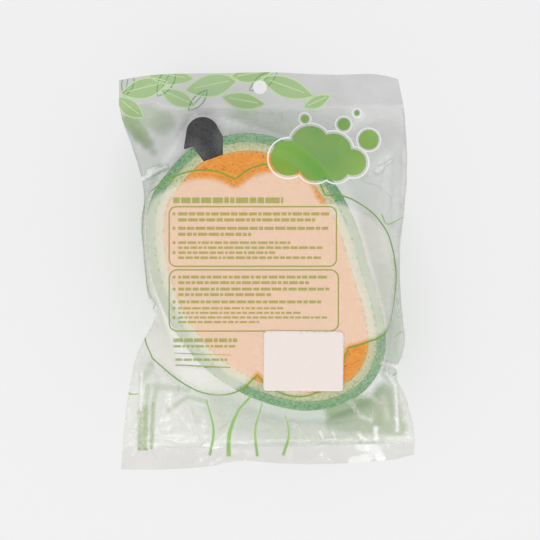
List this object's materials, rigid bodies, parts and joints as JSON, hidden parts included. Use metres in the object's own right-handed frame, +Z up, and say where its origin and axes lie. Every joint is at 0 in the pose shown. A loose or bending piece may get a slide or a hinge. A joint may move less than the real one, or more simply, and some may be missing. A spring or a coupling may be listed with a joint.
{
  "type": "bath sponge",
  "caption": "Fruit-shaped laminated foam bath sponge with a dark stem, loose in a flat clear film pouch with a hang hole and a blank label.",
  "frame": {"origin": "on the surface that the pouch lies on, under the middle of the pouch", "axes": "+Z up out of the pouch's back film, +Y towards the header with the hang hole, +X to the right as the back is seen"},
  "size_m": [0.1492, 0.2004, 0.0362],
  "materials": {
    "orange_foam": "matte",
    "cream_foam": "matte",
    "green_foam": "matte",
    "charcoal_foam": "matte",
    "clear_film": "satin",
    "sealed_film": "satin",
    "white_paper": "matte"
  },
  "bodies": {
    "pouch": {"back_film": "clear_film", "front_film": "clear_film", "header_seal": "sealed_film", "foot_seal": "sealed_film", "label": "white_paper"},
    "sponge": {"flesh_core": "orange_foam", "pith_band": "cream_foam", "rind_band": "green_foam", "stem": "charcoal_foam"}
  },
  "joints": [
    {"name": "sponge_slide", "type": "slide", "parent": "pouch", "child": "sponge", "axis": [0, 1, 0], "range_m": [-0.004, 0.002]}
  ]
}
